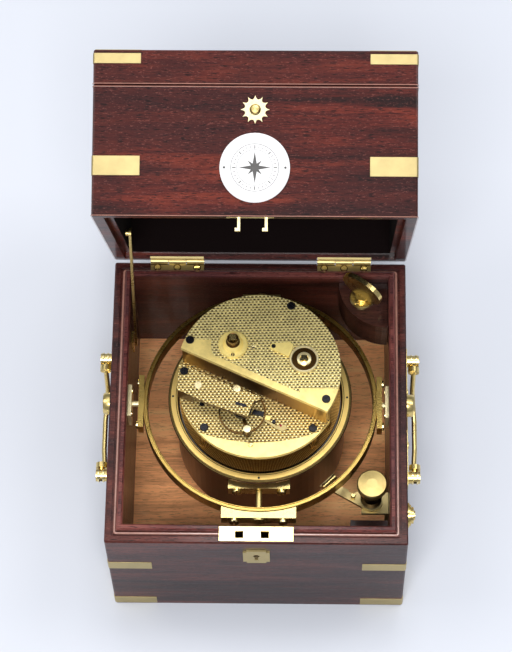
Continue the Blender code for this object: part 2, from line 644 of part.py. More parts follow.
def make_balance():
    low = LOW_PLATE_Z + LAID
    foot = [(-47.6, 7.6), (-48.4, -9.6), (-39.0, -13.2), (-37.0, 3.0)]
    cock = prism("balance_cock", foot, low, 149.8)
    top = [(-47.8, 7.8), (-48.6, -9.8), (-30.0, -18.6), (-5.6, -27.4), (-2.0, -17.6), (2.6, -15.8),
           (2.6, -14.4), (-8.8, -9.65), (-10.0, -10.5), (-12.3, -11.1), (-14.6, -10.3), (-15.7, -8.3),
           (-16.0, -6.7), (-24.0, -3.4)]
    finish(union(cock, prism("add_top", top, 147.0, 149.8)), BRASS)

    x, y = BALANCE
    rim = lathe("balance", [(13.5, 139.8), (14.4, 139.8), (14.4, 141.8), (13.5, 141.8)], "z", (x, y, 0), 40)
    lean = math.radians(104)
    reach = Vector((math.cos(lean), math.sin(lean)))
    side = Vector((-reach.y, reach.x)) * 1.1
    bar = [Vector((x, y)) + reach * a * 13.8 + side * b for a, b in ((-1, -1), (1, -1), (1, 1), (-1, 1))]
    extras = [
        prism("add_arm", bar, 139.8, 141.4),
        cylinder("add_staff", 1.2, 137.5, 146.6, "z", (x, y, 0), 12),
        cylinder("add_hub", 2.6, 139.0, 142.2, "z", (x, y, 0), 16),
    ]
    for s in (-1, 1):
        spot = Vector((x, y)) + reach * s * 13.6
        extras.append(cylinder("add_weight", 2.4, 138.6, 146.6, "z", (*spot, 0), 16))
    finish(union(rim, *extras), BRASS, (x, y, 140))

    coils, radius, wire = 4, 5.4, 0.35
    turns = 14
    path = []
    for k in range(coils * turns + 1):
        t = 2 * math.pi * k / turns
        path.append((x + radius * math.cos(t), y + radius * math.sin(t), 142.9 + 3.4 * k / (coils * turns)))
    spring = coil("balance_spring", path, wire)
    finish(spring, BLUED, (x, y, 143))


def coil(name, points, half):
    """Thin square wire along a helix about a vertical axis."""
    bm = bmesh.new()
    middle = Vector((BALANCE[0], BALANCE[1], 0))
    rings = []
    for point in points:
        p = Vector(point)
        out = Vector((p.x - middle.x, p.y - middle.y, 0)).normalized()
        up = Vector((0, 0, 1))
        rings.append([
            bm.verts.new(p + half * (a * out + b * up * 0.8)) for a, b in ((-1, -1), (1, -1), (1, 1), (-1, 1))
        ])
    for i in range(len(rings) - 1):
        bridge(bm, rings[i], rings[i + 1])
    bm.faces.new(rings[0])
    bm.faces.new(rings[-1])
    return mesh_object(name, bm)


def gear(name, spot, radius, teeth, low, high, depth=1.0):
    outline = []
    for k in range(teeth * 2):
        t = math.pi * k / teeth
        r = radius if k % 2 == 0 else radius - depth
        outline.append((spot[0] + r * math.cos(t), spot[1] + r * math.sin(t)))
    return prism(name, outline, low, high)


def make_train():
    x, y = FUSEE
    boss = [(3.0, 157.1), (9.0, 157.1), (9.0, 158.4), (8.4, 159.0), (6.2, 159.0), (4.6, 162.0), (3.0, 162.0)]
    finish(lathe("winding_boss", boss, "z", (x, y, 0), 36), BRASS)

    cone = [(0, 115.2), (1.6, 115.2), (1.6, 117.0), (14.0, 117.0), (14.0, 119.0), (13.0, 119.4),
            (10.4, 130.0), (8.4, 139.0), (6.8, 149.0), (2.6, 149.6), (2.6, 163.2), (0, 163.2)]
    fusee = lathe("fusee", cone, "z", (x, y, 0), 32)
    square = box("add_square", (x - 1.9, x + 1.9), (y - 1.9, y + 1.9), (162, 169.0))
    finish(union(fusee, square), BRASS, (x, y, 115))

    x, y = BARREL
    drum = [(0, 115.2), (1.8, 115.2), (1.8, 118.0), (13.2, 118.0), (13.2, 150.0), (1.8, 150.0),
            (1.8, 153.2), (0, 153.2)]
    finish(lathe("barrel", drum, "z", (x, y, 0), 32), BRASS, (x, y, 115))

    ratchet = gear("ratchet_wheel", BARREL, 7.2, 20, 157.1, 158.6, 0.9)
    square = box("add_square", (x - 1.8, x + 1.8), (y - 1.8, y + 1.8), (158, 160.6))
    finish(union(ratchet, square), STEEL)

    cx, cy = CLICK
    outline = arc(CLICK, 2.2, 80, 250, 10) + [(19.2, 8.8), (20.6, 11.6), (22.0, 16.4), (20.0, 18.6)]
    finish(prism("click", outline, 157.1, 158.5), STEEL, (cx, cy, 157))

    wheel = gear("centre_wheel", (GX, GY), 11.4, 24, 131.0, 132.6)
    arbor = cylinder("add_arbor", 1.1, 106.2, 153.0, "z", (GX, GY, 0), 12)
    finish(union(wheel, arbor), BRASS, (GX, GY, 115))

    tail = [(-1.6, -7), (1.6, -7), (1.2, 22), (0, 42), (-1.2, 22)]
    minute = prism("minute_hand", [(GX + a, GY + b) for a, b in tail], 106.2, 107.0)
    eye = cylinder("add_eye", 2.6, 106.2, 107.0, "z", (GX, GY, 0), 16)
    union(minute, eye)
    cut(minute, cylinder("cut_eye", 1.25, 105, 108, "z", (GX, GY, 0), 12))
    finish(minute, BLUED, (GX, GY, 106))

    tail = [(-1.8, -6), (1.8, -6), (1.4, 14), (0, 27), (-1.4, 14)]
    hour = prism("hour_hand", [(GX + b, GY - a) for a, b in tail], 107.6, 108.4)
    pipe = cylinder("add_pipe", 3.0, 107.6, 111.0, "z", (GX, GY, 0), 16)
    union(hour, pipe)
    cut(hour, cylinder("cut_pipe", 1.5, 106, 112, "z", (GX, GY, 0), 12))
    finish(hour, BLUED, (GX, GY, 108))

    x, y = FOURTH
    wheel = gear("fourth_wheel", FOURTH, 8.0, 20, 123.0, 124.4)
    arbor = cylinder("add_arbor", 0.9, 108.7, 133.6, "z", (x, y, 0), 12)
    hand = prism("add_hand", [(x - 0.6, y - 3), (x + 0.6, y - 3), (x, y + 8)], 108.6, 109.2)
    finish(union(wheel, arbor, hand), BRASS, (x, y, 115))

    x, y = ESCAPE
    wheel = gear("escape_wheel", ESCAPE, 5.6, 15, 129.6, 130.8, 1.6)
    arbor = cylinder("add_arbor", 0.8, 114.9, 133.6, "z", (x, y, 0), 12)
    finish(union(wheel, arbor), BRASS, (x, y, 115))

    outline = [(15.5, -32.2), (18.6, -30.2), (17.4, -27.6), (12.0, -28.6), (2.4, -22.4), (1.9, -23.4),
               (11.6, -30.2)]
    finish(prism("detent", outline, LOW_PLATE_Z + LAID, LOW_PLATE_Z + 1.3), BLUED)


def main():
    clear_scene()
    make_base()
    make_lip()
    make_lock()
    make_hinges()
    make_stay()
    make_middle_frame()
    make_front_trim()
    make_top_lid()
    make_gimbals()
    make_bowl()
    make_lock_arm()
    make_key()
    make_handles()
    make_plates()
    make_balance()
    make_train()


main()
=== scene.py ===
"""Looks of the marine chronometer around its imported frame.

Meshes are modelled in millimetres and scaled to metres by piece(); shaders, lights and camera
work in metres. Lid pieces are modelled in the closed position and turned open about the lid
hinge, as the frame has them at rest. x is right, y is to the rear, z is up.
"""
import json
import math

import bmesh
import bpy
from mathutils import Matrix, Vector


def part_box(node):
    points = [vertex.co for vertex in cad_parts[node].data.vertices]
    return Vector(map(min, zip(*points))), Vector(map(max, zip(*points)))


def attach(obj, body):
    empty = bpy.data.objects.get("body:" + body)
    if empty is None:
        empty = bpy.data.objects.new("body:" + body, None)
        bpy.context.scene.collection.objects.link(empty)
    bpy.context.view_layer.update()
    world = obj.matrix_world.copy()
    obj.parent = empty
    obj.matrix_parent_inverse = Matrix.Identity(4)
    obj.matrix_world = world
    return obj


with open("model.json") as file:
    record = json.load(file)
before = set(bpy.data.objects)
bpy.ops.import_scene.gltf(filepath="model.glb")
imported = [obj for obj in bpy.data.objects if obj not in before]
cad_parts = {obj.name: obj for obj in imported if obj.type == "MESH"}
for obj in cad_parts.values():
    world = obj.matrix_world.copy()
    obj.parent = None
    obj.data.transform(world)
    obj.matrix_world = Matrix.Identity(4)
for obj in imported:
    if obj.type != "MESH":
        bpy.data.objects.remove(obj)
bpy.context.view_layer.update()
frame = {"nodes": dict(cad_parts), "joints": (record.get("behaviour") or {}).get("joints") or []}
NODES = frame["nodes"]
JOINTS = {j["name"]: j for j in frame["joints"]}
MM = 0.001
FACING = 0.7                           # a normal's share of an axis that counts as facing along it
SMOOTH_BELOW = math.radians(35)        # angle between faces that still shade smoothly
BEVEL_ABOVE = math.radians(40)         # angle between faces that gets a bevel

# ---- places read from the frame, in millimetres ----
BASE_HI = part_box("case_base")[1] * 1000
EDGE_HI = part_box("edge_ring")[1] * 1000
UPPER_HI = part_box("upper_plate")[1] * 1000
LOWER_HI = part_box("lower_plate")[1] * 1000
COCK_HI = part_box("balance_cock")[1] * 1000
GIMBAL = Vector(JOINTS["gimbal_ring_pivot"]["pos_m"]) * 1000
HINGE = Vector(JOINTS["lid_hinge"]["pos_m"]) * 1000
KEY = sum(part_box("key_socket"), Vector()) * 500
BALANCE = Vector(JOINTS["balance_turn"]["pos_m"]) * 1000
OPEN = -math.radians(JOINTS["lid_hinge"]["range_deg"][0])
HALF_X, HALF_Y = BASE_HI.x, BASE_HI.y  # half sizes of the box in plan
TO_HINGE = Matrix.Translation(HINGE * MM)
OPENING = TO_HINGE @ Matrix.Rotation(-OPEN, 4, "X") @ TO_HINGE.inverted()

# ---- places that follow the model's own sizes, in millimetres ----
FLOOR_TOP = 19.3                       # just over the floor of the base
HOLLOW_X, HOLLOW_Y = 82.3, 84.8        # half sizes of the closed lid's inside
HOLLOW_TOP = 207.5                     # just over the ceiling of the closed lid's inside
LID_TOP = 208.4
CORNER_R = 1.2                         # rounding of the box's upright corners
PLAQUE_FACE = -96.5                    # y of the plaque's front, lid closed
LEAF_TOP = 112.05                      # top of the base hinge leaves
HANDLE_Z = 83.0
STEP_N = Vector((0.4204, 0.9073))      # across the movement's step, pointing to the rear
STEP_C = -6.2                          # place of the step along that direction
SCREW_SEAT = 158.5                     # top of the click and of the winding boss's flange
WEIGHT_LEAN, WEIGHT_REACH = 104, 13.6  # bearing in degrees and radius of the balance weights


# ---------------------------------------------------------------- shader helpers
class Shader:
    """Small wrapper that adds and links nodes of one material."""

    def __init__(self, name, color, rough, metal=0.0):
        self.mat = bpy.data.materials.new(name)
        self.mat.use_nodes = True
        self.tree = self.mat.node_tree
        self.out = self.tree.nodes["Principled BSDF"]
        self.set("Base Color", (*color, 1.0))
        self.set("Roughness", rough)
        self.set("Metallic", metal)
        self.coord = self.tree.nodes.new("ShaderNodeTexCoord")

    def set(self, socket, value):
        self.out.inputs[socket].default_value = value

    def link(self, source, target):
        self.tree.links.new(source, target)

    def feed(self, value, socket):
        """Set a socket to a number or a colour, or link another node's output to it."""
        if isinstance(value, (int, float)):
            socket.default_value = value
        elif isinstance(value, tuple):
            socket.default_value = (*value, 1)
        else:
            self.link(value, socket)

    def node(self, kind, **values):
        made = self.tree.nodes.new("ShaderNode" + kind)
        for key, value in values.items():
            setattr(made, key, value)
        return made

    def math(self, operation, *values):
        made = self.node("Math", operation=operation)
        for slot, value in enumerate(values):
            self.feed(value, made.inputs[slot])
        return made.outputs[0]

    def add(self, one, two):
        return self.math("ADD", one, two)

    def sub(self, one, two):
        return self.math("SUBTRACT", one, two)

    def mul(self, one, two):
        return self.math("MULTIPLY", one, two)

    def over(self, one, two):
        return self.math("GREATER_THAN", one, two)

    def under(self, one, two):
        return self.math("LESS_THAN", one, two)

    def length(self, one, two):
        """Length of a plane vector."""
        return self.math("SQRT", self.add(self.mul(one, one), self.mul(two, two)))

    def mapped(self, scale=(1, 1, 1), turn=(0, 0, 0), source=None):
        """Object coordinates, or another vector, scaled and turned."""
        made = self.node("Mapping")
        made.inputs["Scale"].default_value = scale
        made.inputs["Rotation"].default_value = turn
        self.link(source or self.coord.outputs["Object"], made.inputs["Vector"])
        return made.outputs[0]

    def noise(self, vector, scale, detail=3.0, rough=0.5, distortion=0.0):
        made = self.node("TexNoise")
        made.inputs["Scale"].default_value = scale
        made.inputs["Detail"].default_value = detail
        made.inputs["Roughness"].default_value = rough
        made.inputs["Distortion"].default_value = distortion
        self.link(vector, made.inputs["Vector"])
        return made.outputs["Fac"]

    def ramp(self, factor, stops, colors=False):
        """Colour ramp through (place, value) stops; values are greys unless colors is set."""
        made = self.node("ValToRGB")
        line = made.color_ramp
        while len(line.elements) < len(stops):
            line.elements.new(0.5)
        for element, (place, value) in zip(line.elements, stops):
            element.position = place
            element.color = (*value, 1) if colors else (value, value, value, 1)
        self.link(factor, made.inputs["Fac"])
        return made.outputs["Color"]

    def mix(self, factor, one, two, blend="MIX"):
        made = self.node("Mix", data_type="RGBA", blend_type=blend)
        for slot, value in ((0, factor), (6, one), (7, two)):
            self.feed(value, made.inputs[slot])
        return made.outputs[2]

    def choose(self, factor, one, two):
        """Mix of two numbers."""
        made = self.node("Mix", data_type="FLOAT")
        for slot, value in ((0, factor), (2, one), (3, two)):
            self.feed(value, made.inputs[slot])
        return made.outputs[0]

    def split(self, vector):
        made = self.node("SeparateXYZ")
        self.link(vector, made.inputs[0])
        return made.outputs

    def place(self):
        """Object coordinates, split into x, y and z."""
        return self.split(self.coord.outputs["Object"])

    def normal(self):
        return self.split(self.coord.outputs["Normal"])

    def cloud(self, scale, detail, rough):
        return self.noise(self.coord.outputs["Object"], scale, detail, rough)

    def color_and_gloss(self, color, rough=None):
        """Link the base colour and, if given, the roughness."""
        self.link(color, self.out.inputs["Base Color"])
        if rough is not None:
            self.link(rough, self.out.inputs["Roughness"])

    def bump(self, height, distance, strength):
        made = self.node("Bump")
        made.inputs["Distance"].default_value = distance
        made.inputs["Strength"].default_value = strength
        self.link(height, made.inputs["Height"])
        self.link(made.outputs[0], self.out.inputs["Normal"])


RAW_BRASS = (0.5, 0.35, 0.15)          # start colour of shaders whose colour is then linked


def srgb(*values):
    """Linear colour of 0 to 255 screen values."""
    shares = [value / 255 for value in values]
    return tuple(c / 12.92 if c <= 0.04045 else ((c + 0.055) / 1.055) ** 2.4 for c in shares)


def times(color, *factors):
    """A colour scaled by one factor or one for each channel, kept under 1."""
    factors = factors if len(factors) == 3 else factors * 3
    return tuple(min(c * f, 1) for c, f in zip(color, factors))


def grain_vector(s, tilt):
    """Coordinates with X along the grain: along X, or along the depth on the side faces."""
    x, y, z = s.split(s.mapped(turn=(tilt, 0, 0)))
    side = s.over(s.math("ABSOLUTE", s.normal()[0]), FACING)
    made = s.node("CombineXYZ")
    s.link(s.choose(side, x, y), made.inputs[0])
    s.link(s.choose(side, y, x), made.inputs[1])
    s.link(z, made.inputs[2])
    return made.outputs[0]


def closed_lid(s):
    """Object coordinates of the lid pieces as they stand with the lid closed."""
    made = s.node("Mapping")
    turn = Matrix.Rotation(OPEN, 3, "X")
    hinge = HINGE * MM
    made.inputs["Location"].default_value = hinge - turn @ hinge
    made.inputs["Rotation"].default_value = (OPEN, 0, 0)
    s.link(s.coord.outputs["Object"], made.inputs["Vector"])
    return s.split(made.outputs[0])


def between(s, value, reach):
    """1 where the value lies within the reach of zero."""
    return s.under(s.math("ABSOLUTE", value), reach)


def mahogany(name, dark, mid, light, tilt=0.0, pores=0.25, lit_floor_color=None, inside=None):
    """French-polished mahogany: broad figure, fine streaks, open pores and a clear coat.

    A floor colour, painted light, lightens the up-facing floor of the base; a second colour,
    painted shade, darkens the lid's hollow.
    """
    coat = 0.26
    s = Shader(name, mid, 0.38)
    grain = grain_vector(s, tilt)

    def figure_noise(along, across, detail, rough, distortion=0.0):
        stretched = s.mapped((along, across, across), source=grain)
        return s.noise(stretched, 1.0, detail, rough, distortion)

    broad = figure_noise(6, 60, 3, 0.5, 0.9)
    band = figure_noise(16, 210, 4, 0.6, 0.5)
    streak = figure_noise(40, 900, 4, 0.6, 0.2)
    figure = s.add(s.add(s.mul(broad, 0.56), s.mul(band, 0.24)), s.mul(streak, 0.24))
    color = s.ramp(figure, [(0.40, dark), (0.51, mid), (0.63, light)], True)
    heart = s.ramp(figure_noise(7, 24, 2, 0.5, 0.6), [(0.46, 0.0), (0.60, 0.7)])
    color = s.mix(heart, color, times(mid, 0.42, 0.66, 0.95))
    flecks = s.ramp(figure_noise(520, 1700, 2, 0.6), [(0.60, 0.0), (0.68, 1.0)])
    color = s.mix(s.mul(flecks, pores), color, tuple(c * 1.6 + 0.07 for c in light))
    pits = s.ramp(figure_noise(190, 1500, 3, 0.6), [(0.38, 1.0), (0.45, 0.0)])
    color = s.mix(s.mul(pits, 0.8), color, times(dark, 0.3))
    dull = s.ramp(streak, [(0.3, 0.34), (0.7, 0.46)])
    s.set("Coat Weight", coat)
    if lit_floor_color:
        # Painted light: the up-facing floor gets a far lighter colour than the wood, to stand in
        # for the light that hardly reaches it.
        deep = s.mul(s.under(s.place()[2], FLOOR_TOP * MM), s.over(s.normal()[2], 0.5))
        shades = times(lit_floor_color, 0.5), lit_floor_color, times(lit_floor_color, 1.25)
        floor_light_tone = s.ramp(figure, list(zip((0.38, 0.52, 0.64), shades)), True)
        floor_light_tone = s.mix(s.mul(pits, 0.5), floor_light_tone, times(lit_floor_color, 0.35))
        color = s.mix(deep, color, floor_light_tone)
    if inside:
        # Painted shade: the lid's hollow, in shade with the lid open, is coloured near black.
        x, y, z = closed_lid(s)
        hollow = s.mul(between(s, x, HOLLOW_X * MM), between(s, y, HOLLOW_Y * MM))
        hollow = s.mul(hollow, s.under(z, HOLLOW_TOP * MM))
        color = s.mix(hollow, color, inside)
        dull = s.mix(hollow, dull, (1.0, 1.0, 1.0))
        s.link(s.mul(s.sub(1.0, hollow), coat), s.out.inputs["Coat Weight"])
    s.color_and_gloss(color, dull)
    s.set("Coat Roughness", 0.09)
    s.set("Specular IOR Level", 0.12)
    s.bump(s.sub(streak, s.mul(pits, 0.9)), 0.00007, 0.7)
    return s.mat


def brass(name, color, rough, brushed=0.0, wear=0.35):
    """Lacquered brass with faint tarnish clouds, hairline scratches and uneven gloss."""
    s = Shader(name, color, rough, 1.0)
    cloud = s.cloud(90.0, 4, 0.6)
    stops = [(0.32, times(color, 1 - 0.35 * wear)), (0.6, color), (0.8, times(color, 1.08))]
    lines = s.noise(s.mapped((260, 3200, 900)), 1.0, 3, 0.6)
    uneven = s.add(rough - 0.05, s.mul(s.add(cloud, lines), 0.07 + 0.08 * brushed))
    s.color_and_gloss(s.ramp(cloud, stops, True), uneven)
    s.bump(lines, 0.00002 + 0.00004 * brushed, 0.5)
    return s.mat


def spotted(name, plain_mask, field, edge=None):
    """Engine-spotted brass: staggered rows of small polished discs, plain where the mask is 1.

    The field colour lies between the discs; an edge colour, painted shade, darkens the faces that
    look sideways.
    """
    base, shine, shadow = srgb(255, 228, 142), srgb(255, 244, 184), srgb(52, 34, 10)
    pitch_x, pitch_y, lean, squash = 2.4, 1.75, math.radians(-3), 0.7
    s = Shader(name, base, 0.3, 0.42)
    x, y, _ = s.split(s.mapped((1000 / pitch_x, 1000 / pitch_y, 1), (0, 0, lean)))
    row = s.math("FLOOR", y)
    shift = s.mul(s.math("MODULO", s.math("ABSOLUTE", row), 2.0), 0.5)
    u = s.sub(s.math("FRACT", s.add(x, shift)), 0.5)
    v = s.sub(s.math("FRACT", y), 0.5)
    far = s.math("SQRT", s.add(s.mul(u, u), s.mul(s.mul(v, v), squash)))
    side = s.under(s.normal()[2], FACING)
    plain = s.math("MAXIMUM", plain_mask(s), side)
    patterned = s.sub(1.0, plain)
    dome = s.mul(s.ramp(far, [(0.0, 1.0), (0.3, 0.72), (0.48, 0.05)]), patterned)
    # Painted shadow: a dark crescent along the lower rim of each disc, its depth varied by noise.
    rim = s.ramp(far, [(0.19, 0.0), (0.33, 1.0)])
    below = s.over(s.mul(v, -1.0), -0.05)
    spark = s.noise(s.mapped((700, 1100, 1)), 1.0, 2, 0.6)
    shade = s.mul(s.mul(rim, below), patterned)
    shade = s.mul(shade, s.ramp(spark, [(0.30, 0.4), (0.50, 1.0)]))
    dust = s.ramp(s.cloud(120.0, 3, 0.6), [(0.32, 0.72), (0.62, 1.0)])
    tone = s.mix(1.0, s.mix(plain, field, base), dust, "MULTIPLY")
    # Painted highlight: a pale spot in the middle of each disc.
    tone = s.mix(s.mul(s.ramp(far, [(0.10, 1.0), (0.28, 0.0)]), patterned), tone, shine)
    color = s.mix(shade, tone, shadow)
    # Painted shade: the faces that look sideways take the dark edge colour.
    if edge:
        color = s.mix(side, color, edge)
    s.color_and_gloss(color, s.add(0.30, s.mul(shade, 0.2)))
    s.bump(dome, 0.0003, 1.0)
    return s.mat


def upper_plain(s):
    """Polished border along the step, with a wider land round the screw at each end."""
    border_width, boss_x, boss_y, boss_clear = 0.0042, -0.0148, 0.0168, 0.0135
    x, y, _ = s.place()
    behind = s.sub(s.add(s.mul(x, STEP_N.x), s.mul(y, STEP_N.y)), STEP_C * MM)
    border = s.under(behind, border_width)
    from_boss = s.length(s.sub(x, boss_x), s.sub(y, boss_y))
    left = s.mul(s.mul(s.under(y, 0.0205), s.under(x, -0.020)), s.over(from_boss, boss_clear))
    right = s.mul(s.under(y, -0.0115), s.over(x, 0.026))
    return s.math("MAXIMUM", border, s.math("MAXIMUM", left, right))


def lower_plain(s):
    """Polished crescent at the front of the lower plate, bounded by a parabola."""
    bow, front = 5.0, -0.0390
    x, y, _ = s.place()
    return s.under(s.sub(y, s.mul(s.mul(x, x), bow)), front)


def no_plain(s):
    """Discs all over."""
    return s.mul(s.place()[0], 0.0)


def simple(name, color, rough, metal=0.0, coat=0.0, vary=0.15):
    """Plain finish with a small change of tone and gloss over the surface."""
    s = Shader(name, color, rough, metal)
    cloud = s.cloud(400.0, 3, 0.55)
    stops = [(0.3, times(color, 1 - vary)), (0.7, times(color, 1 + vary))]
    s.color_and_gloss(s.ramp(cloud, stops, True), s.add(rough - 0.04, s.mul(cloud, 0.08)))
    s.set("Coat Weight", coat)
    s.set("Coat Roughness", 0.1)
    s.bump(cloud, 0.00002, 0.4)
    return s.mat


def knob_material():
    """Satin brass knob whose neck is dark."""
    neck_z = 0.098
    s = Shader("brass_knob", RAW_BRASS, 0.34, 1.0)
    cloud = s.cloud(160.0, 4, 0.6)
    high = s.ramp(s.mul(s.sub(s.place()[2], neck_z), 100.0), [(0.45, 0.0), (0.75, 1.0)])
    tone = s.ramp(cloud, [(0.3, srgb(164, 142, 88)), (0.7, srgb(190, 170, 112))], True)
    s.color_and_gloss(s.mix(high, srgb(40, 30, 15), tone), s.add(0.3, s.mul(cloud, 0.1)))
    s.bump(cloud, 0.00003, 0.4)
    return s.mat


def step_material():
    """Polished wall of the step: gold at the ends, brown towards its middle as a painted dark
    reflection.
    """
    s = Shader("brass_step", RAW_BRASS, 0.3, 1.0)
    streak = s.noise(s.mapped((300, 300, 20), (0, 0, math.radians(-25))), 1.0, 3, 0.5)
    along = s.add(s.add(s.mul(s.place()[0], 11.0), s.mul(streak, 0.10)), 0.5)
    # The brown middle is a painted dark reflection.
    gold, tan, brown = srgb(206, 168, 94), srgb(128, 90, 48), srgb(70, 42, 26)
    stops = [(0.06, gold), (0.22, tan), (0.48, brown), (0.72, tan), (0.95, gold)]
    s.color_and_gloss(s.ramp(along, stops, True), s.add(0.24, s.mul(streak, 0.1)))
    s.bump(streak, 0.00003, 0.5)
    return s.mat


def from_bowl_axis(s):
    """Object x and y as seen from the bowl's axis."""
    x, y, _ = s.place()
    return s.sub(x, GIMBAL.x * MM), s.sub(y, GIMBAL.y * MM)


def knurled():
    """Straight-knurled brass, its lines running out from the bowl's axis."""
    lines_around = 300.0
    s = Shader("brass_knurled", RAW_BRASS, 0.35, 1.0)
    dx, dy = from_bowl_axis(s)
    around = s.math("ARCTAN2", dy, dx)
    wave = s.add(0.5, s.mul(s.math("SINE", s.mul(around, lines_around)), 0.5))
    mixed = s.add(s.mul(wave, 0.6), s.mul(s.cloud(900.0, 3, 0.6), 0.5))
    # The tones are darkened as painted shade under the lower plate, and the ridges lighter than the
    # grooves are painted shading.
    stops = [(0.2, srgb(84, 56, 26)), (0.6, srgb(132, 98, 48)), (0.9, srgb(182, 146, 80))]
    s.color_and_gloss(s.ramp(mixed, stops, True))
    s.bump(wave, 0.0002, 0.8)
    return s.mat


def turned(name, color):
    """Lathe-turned brass with engraved rings about the bowl's axis."""
    inner, groove_rate = 0.048, 16000.0
    s = Shader(name, color, 0.3, 0.75)
    far = s.length(*from_bowl_axis(s))
    dark, deep, light = times(color, 0.55), times(color, 0.16), times(color, 1.1)
    # Painted shade darkens the inner end where the flange meets the plates; the dark band and the
    # light band near the outer edge are a painted reflection and a painted highlight of the
    # polished rim.
    stops = [(0.0, dark), (0.20, color), (0.25, deep), (0.32, deep), (0.35, color), (0.76, color),
             (0.79, deep), (0.84, deep), (0.87, light), (0.97, dark)]
    tone = s.ramp(s.mul(s.sub(far, inner), 100.0), stops, True)
    s.color_and_gloss(tone, s.add(0.27, s.mul(s.noise(s.mapped(), 300.0, 2), 0.1)))
    s.bump(s.math("SINE", s.mul(far, groove_rate)), 0.00001, 0.5)
    return s.mat


def glass_material():
    """Clear pane of the middle section."""
    s = Shader("pane_glass", (0.95, 0.98, 0.97), 0.02)
    s.set("Transmission Weight", 1.0)
    s.set("IOR", 1.45)
    return s.mat


# ---------------------------------------------------------------- looks
DARK, MID, LIGHT = srgb(30, 10, 9), srgb(74, 24, 18), srgb(114, 44, 28)
MATS = {
    "base": mahogany("mahogany_base", DARK, srgb(68, 29, 24), srgb(100, 50, 41),
                     # the floor colour is painted light, far lighter than the wood
                     lit_floor_color=srgb(254, 178, 120)),
    # the colour of the lid's hollow is painted shade
    "lid": mahogany("mahogany_lid", DARK, MID, LIGHT, tilt=OPEN, inside=srgb(15, 7, 7)),
    # Bead colour: partly the lacquered moulding, partly a painted highlight, lightened to a pale
    # pink-brown along the rim and the lid's joints.
    "lacquer_highlight": simple("lacquer_edge_highlight", srgb(156, 112, 98), 0.12, 0.0, coat=1.0),
    "lip": mahogany("mahogany_lip", srgb(58, 26, 24), srgb(94, 45, 41), srgb(126, 70, 62)),
    "block": mahogany("mahogany_block", srgb(40, 20, 16), srgb(62, 34, 27), srgb(84, 50, 40),
                      pores=0.15),
    "brass": brass("brass_lacquered", srgb(222, 198, 130), 0.26),
    "satin": brass("brass_satin", srgb(186, 168, 118), 0.38, brushed=0.5),
    "knob": knob_material(),
    "bright": brass("brass_bright", srgb(242, 224, 168), 0.16),
    "aged": brass("brass_aged", srgb(92, 66, 30), 0.4, wear=0.8),
    "spot_upper": spotted("brass_spotted_upper", upper_plain, srgb(255, 232, 148)),
    "spot_lower": spotted("brass_spotted_lower", lower_plain, srgb(222, 188, 106)),
    # the cock's dark edge colour is painted shade on its sides
    "spot": spotted("brass_spotted", no_plain, srgb(230, 198, 116), srgb(92, 66, 32)),
    "step": step_material(),
    "knurl": knurled(),
    "edge": turned("brass_turned_edge", srgb(246, 212, 126)),
    "bronze": brass("bronze_dark", srgb(92, 66, 34), 0.3, wear=0.8),
    # The bowl's brass is darkened to brown as a painted reflection of the dark wood round it.
    "bowl": brass("brass_bowl", srgb(98, 66, 44), 0.3, wear=0.7),
    "ring": brass("brass_ring", srgb(196, 166, 92), 0.24, brushed=0.3),
    "blued": simple("steel_blued", (0.010, 0.010, 0.014), 0.3, 0.6),
    "pale": simple("brass_pale", srgb(246, 230, 180), 0.36, 0.75, vary=0.05),
    "cream": simple("brass_cream", srgb(252, 226, 138), 0.36, 0.45, vary=0.06),
    "silver": simple("silvered_matt", srgb(222, 221, 221), 0.5, 0.0, vary=0.03),
    "ink": simple("engraving_wax", srgb(70, 68, 66), 0.5),
    "ruby": simple("jewel_ruby", srgb(150, 20, 40), 0.1, coat=1.0),
    "glass": glass_material(),
}

LOOKS = {
    "base": ["case_base"],
    "lid": ["middle_frame", "top_lid"],
    "lip": ["rim_lip"],
    "block": ["lock_corner_block", "key_block"],
    "aged": ["lock_case"],
    "brass": ["lock_bolt", "stay_bracket", "stay_rod", "ring_block_front", "ring_block_rear",
              "bowl_pivot_front", "bowl_pivot_rear", "winding_key", "key_socket", "handle_left",
              "handle_right", "bail_left", "bail_right", "push_button", "top_hinge_left",
              "top_hinge_right", "fusee", "barrel", "centre_wheel", "fourth_wheel", "escape_wheel"],
    "satin": ["hinge_base_left", "hinge_base_right", "hinge_lid_left", "hinge_lid_right",
              "lock_arm", "lock_bracket", "keyhole_escutcheon", "detent"],
    "bright": ["striker_plate", "ratchet_wheel"],
    "cream": ["click", "winding_boss"],
    "pale": ["star_escutcheon", "hook_plate", "gimbal_bracket_left", "gimbal_bracket_right"],
    "bronze": ["balance"],
    "edge": ["edge_ring"],
    "bowl": ["bowl"],
    "ring": ["gimbal_ring"],
    "spot_upper": ["upper_plate"],
    "spot_lower": ["lower_plate"],
    "spot": ["balance_cock"],
    "knurl": ["pillar_plate"],
    "step": ["step_wall"],
    "blued": ["balance_spring", "minute_hand", "hour_hand"],
    "knob": ["lock_knob"],
    "silver": ["plaque", "dial"],
    "glass": ["glass_pane"],
}


def dress_nodes():
    """Give every node of the frame its look."""
    for look, names in LOOKS.items():
        for name in names:
            slots = NODES[name].data.materials
            slots.clear()
            slots.append(MATS[look])


